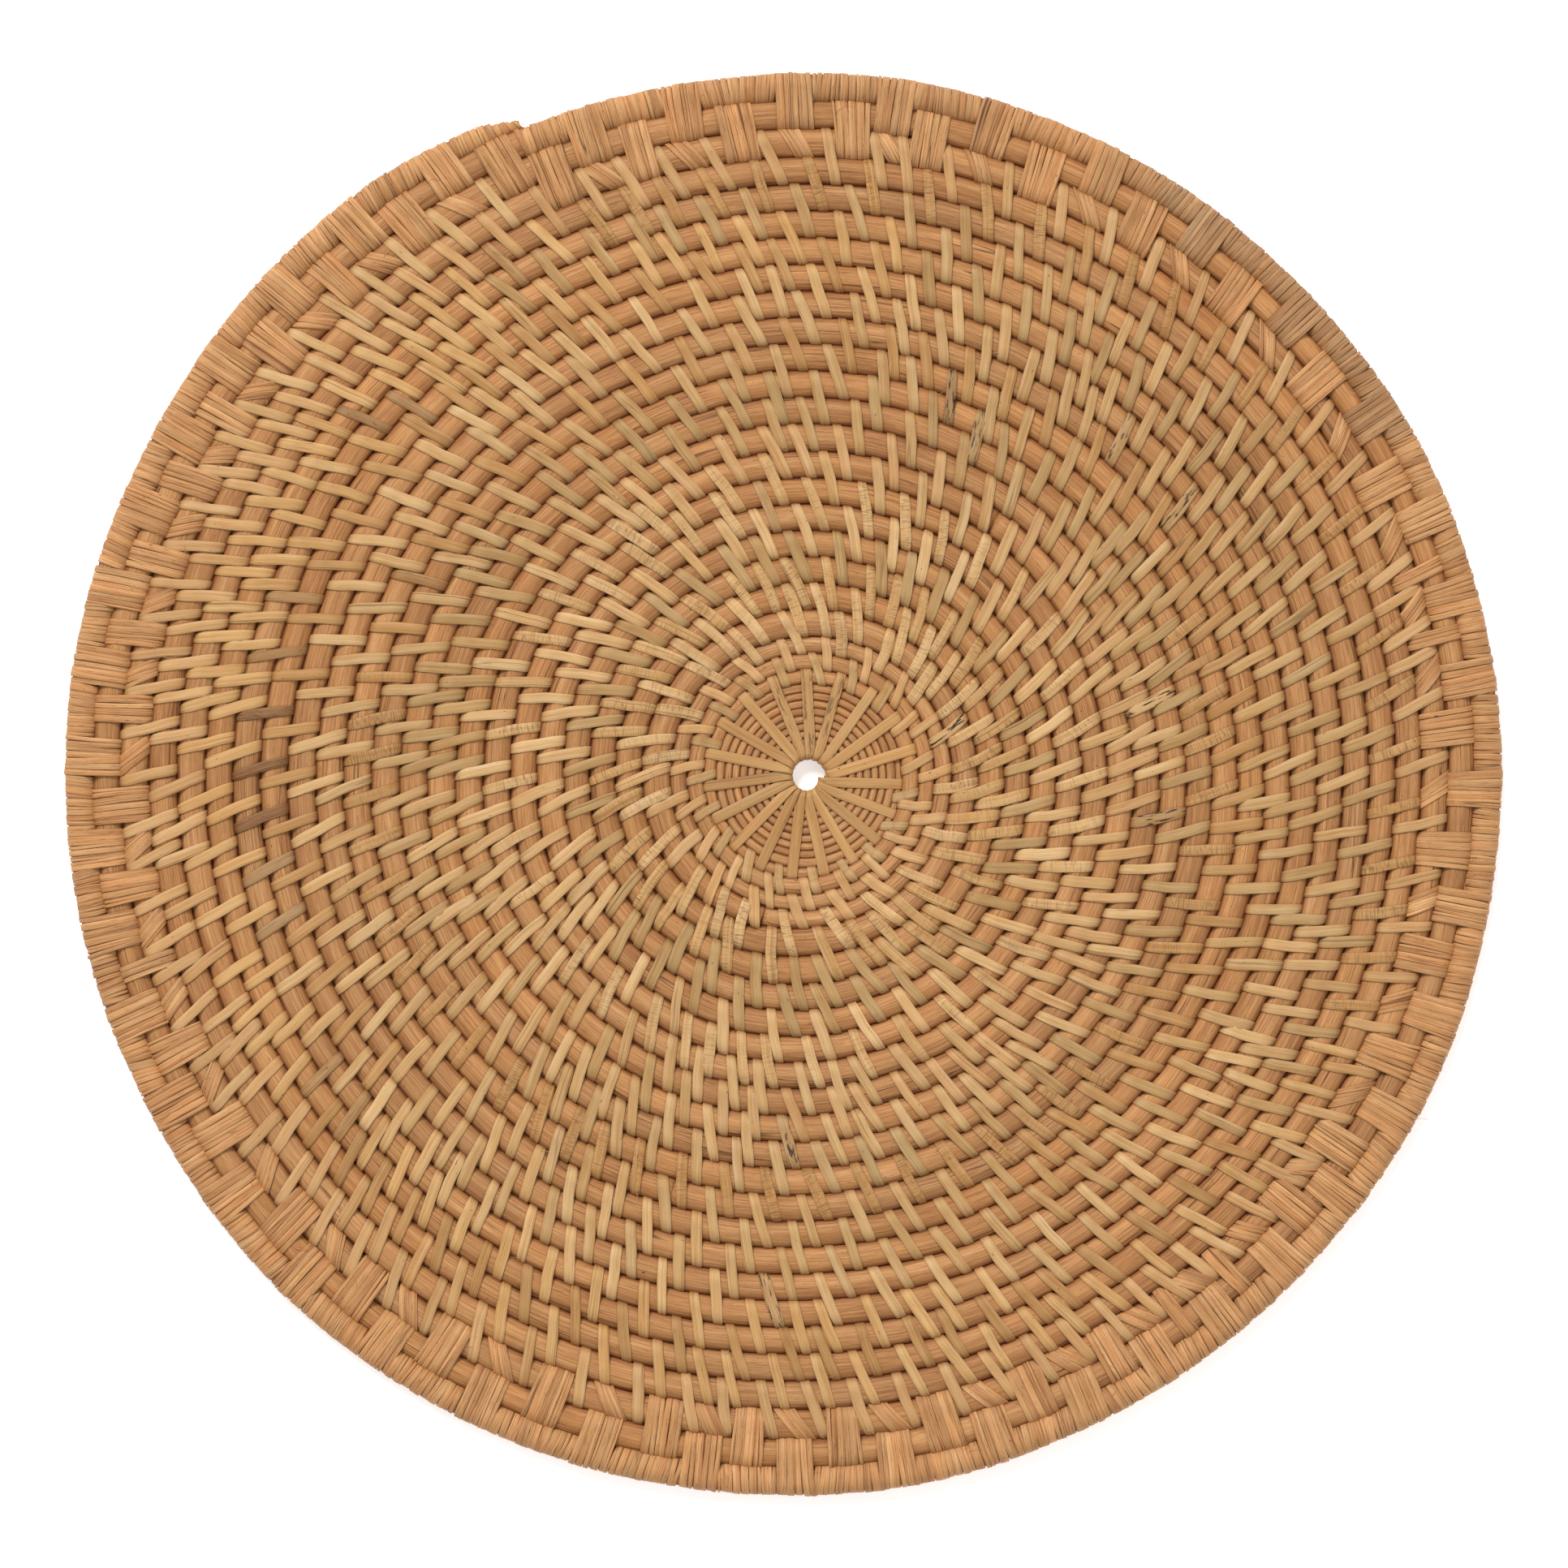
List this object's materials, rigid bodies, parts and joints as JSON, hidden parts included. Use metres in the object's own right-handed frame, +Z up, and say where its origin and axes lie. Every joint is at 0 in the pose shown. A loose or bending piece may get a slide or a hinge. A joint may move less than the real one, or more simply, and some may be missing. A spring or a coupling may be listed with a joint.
{
  "type": "chair seat pad",
  "caption": "Round coiled rattan seat pad: a spiral of cane stitched round by round with flat peel strips, with a wrapped rim and a small open centre.",
  "frame": {"origin": "middle of the pad's round outline, on the surface it lies on", "axes": "+Z up through the pad's thickness; +X towards the side where the rounds of cane are closest; the cane winds clockwise and outwards seen from +Z"},
  "size_m": [0.38, 0.3764, 0.0072],
  "materials": {
    "cane": "raw split-grain rattan cane",
    "reed": "raw round reed",
    "peel_strip": "satin rattan peel",
    "rim_strip": "thin fibrous binding"
  },
  "bodies": {
    "root": {"cane_length_1": "cane", "cane_length_2": "cane", "cane_length_3": "cane", "cane_length_4": "cane", "cane_length_5": "cane", "centre_reed_coil": "reed", "centre_spoke_strips": "peel_strip", "middle_reed_coil": "reed", "rim_edge_sleeves": "rim_strip", "rim_inner_blocks": "rim_strip", "rim_outer_blocks": "rim_strip", "stitch_round_01": "peel_strip", "stitch_round_02": "peel_strip", "stitch_round_03": "peel_strip", "stitch_round_04": "peel_strip", "stitch_round_05": "peel_strip", "stitch_round_06": "peel_strip", "stitch_round_07": "peel_strip", "stitch_round_08": "peel_strip", "stitch_round_09": "peel_strip", "stitch_round_10": "peel_strip", "stitch_round_11": "peel_strip", "stitch_round_12": "peel_strip", "stitch_round_13": "peel_strip", "stitch_round_14": "peel_strip", "stitch_round_15": "peel_strip", "stitch_round_16": "peel_strip", "stitch_round_17": "peel_strip", "stitch_round_18": "peel_strip", "stitch_round_19": "peel_strip", "stitch_round_20": "peel_strip", "stitch_round_21": "peel_strip", "stitch_round_22": "peel_strip"}
  },
  "joints": []
}
